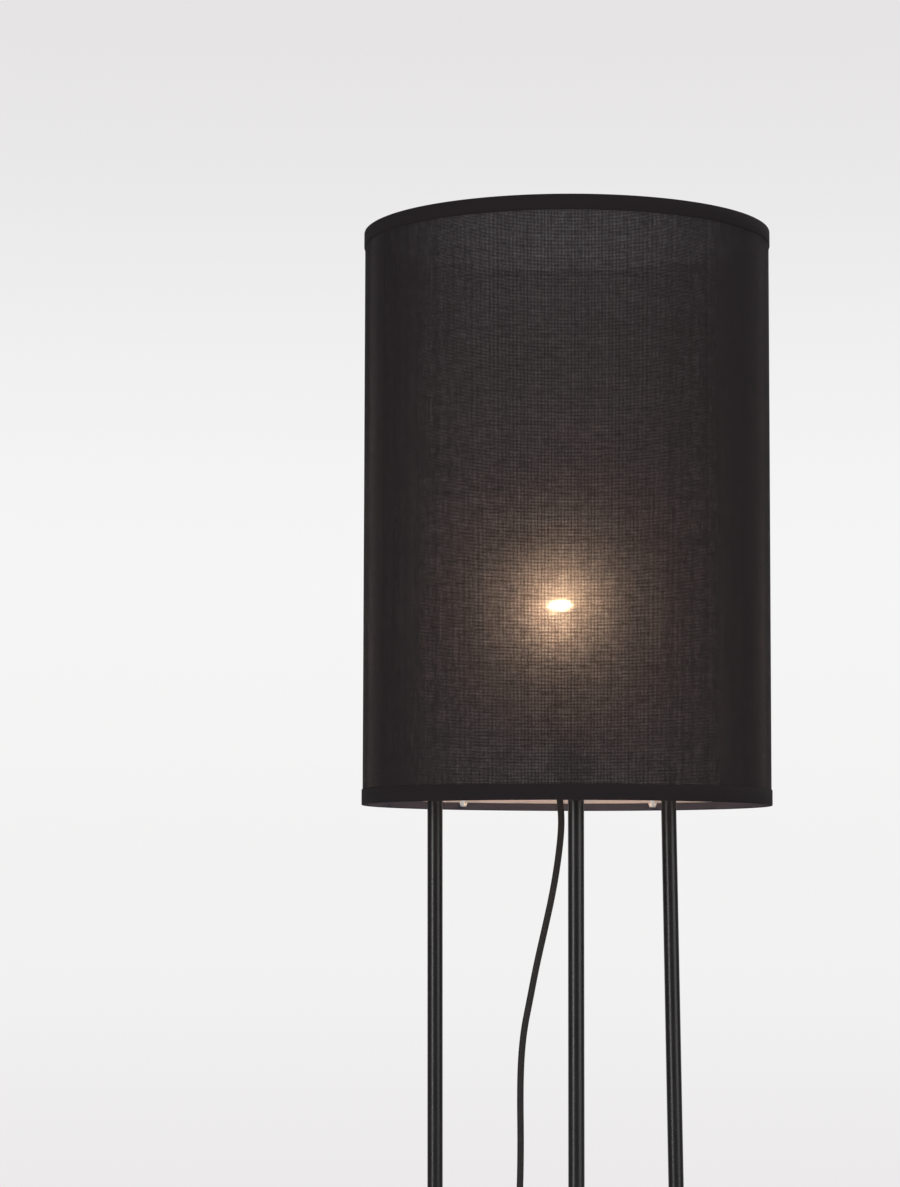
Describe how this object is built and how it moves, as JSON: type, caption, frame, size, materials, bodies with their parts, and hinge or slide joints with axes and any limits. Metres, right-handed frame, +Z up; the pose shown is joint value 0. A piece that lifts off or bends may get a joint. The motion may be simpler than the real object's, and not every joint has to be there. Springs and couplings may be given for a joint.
{
  "type": "floor lamp",
  "caption": "Tall black cotton drum shade on slim tube legs, with a weighted round base, a screw-in bulb and a loose cord with a foot switch and plug.",
  "frame": {"origin": "on the floor, at the centre of the round base, under the shade's axis", "axes": "+Z up along the shade's axis, -Y towards the front leg and the viewer, +X to the viewer's right"},
  "size_m": [0.4219, 0.6128, 1.65],
  "materials": {
    "powder_black": "satin",
    "felt_black": "pressed felt",
    "zinc_steel": "zinc plated",
    "holder_black": "moulded",
    "steatite": "fired",
    "brass": "drawn",
    "cap_aluminium": "rolled thread",
    "solder": "soldered",
    "black_glass": "vitreous",
    "bulb_glass": "clear",
    "stem_glass": "clear",
    "tungsten": "lit",
    "molybdenum": "drawn",
    "shade_cotton": "plain weave",
    "shade_film": "frosted",
    "trim_cotton": "folded tape",
    "white_wire": "white coated",
    "cable_black": "extruded",
    "switch_black": "fine spark texture",
    "button_black": "moulded",
    "soft_black": "moulded",
    "contact_block": "moulded",
    "tie_black": "hook tape",
    "nickel": "nickel plated"
  },
  "bodies": {
    "stand": {"base_felt": "felt_black", "base_plate": "powder_black", "base_screws": "zinc_steel", "leg_front": "powder_black", "leg_right": "powder_black", "leg_left": "powder_black", "leg_bottom_plugs": "zinc_steel", "leg_top_plugs": "zinc_steel", "leg_top_screws": "zinc_steel", "star_bracket": "powder_black", "shade_pins": "powder_black", "nipple": "zinc_steel", "nipple_nut": "zinc_steel", "cord_grip": "holder_black", "stem_sleeve": "powder_black", "holder_cap": "holder_black", "holder_skirt": "holder_black", "holder_core": "steatite", "screw_shell": "brass", "centre_contact": "brass", "cord_drop": "cable_black", "cord_coil": "cable_black", "cord_tail": "cable_black", "coil_tie": "tie_black", "switch_lower_shell": "switch_black", "switch_upper_shell": "switch_black", "switch_reliefs": "soft_black", "switch_screws": "zinc_steel", "switch_block": "contact_block", "switch_spring": "zinc_steel", "plug_body": "soft_black", "plug_pins": "nickel"},
    "shade": {"shade_fabric": "shade_cotton", "shade_film": "shade_film", "trim_top": "trim_cotton", "trim_bottom": "trim_cotton", "top_ring": "white_wire", "bottom_ring": "white_wire", "shade_spider": "white_wire"},
    "bulb_foot": {"bulb_contact": "solder", "bulb_insulator": "black_glass"},
    "bulb": {"bulb_cap": "cap_aluminium", "bulb_glass": "bulb_glass", "bulb_stem": "stem_glass", "lead_wires": "molybdenum", "filament": "tungsten"},
    "button": {"switch_button": "button_black"}
  },
  "joints": [
    {"name": "shade_lift", "type": "slide", "parent": "stand", "child": "shade", "axis": [0, 0, 1], "range_m": [0, 0.25]},
    {"name": "bulb_rise", "type": "slide", "parent": "stand", "child": "bulb_foot", "axis": [0, 0, 1], "range_m": [0, 0.0146]},
    {"name": "bulb_turn", "type": "hinge", "parent": "bulb_foot", "child": "bulb", "pos_m": [-0.0074, 0, 1.2], "axis": [0, 0, 1], "range_deg": [0, 1440]},
    {"name": "button_press", "type": "slide", "parent": "stand", "child": "button", "axis": [0, 0, -1], "range_m": [0, 0.003], "stiffness_N_per_m": 900, "springref_m": -0.001, "deforming": ["switch_spring"]}
  ],
  "couplings": [
    {"joint": "bulb_rise", "follows": "bulb_turn", "m_per_rad": 0.00057757}
  ]
}
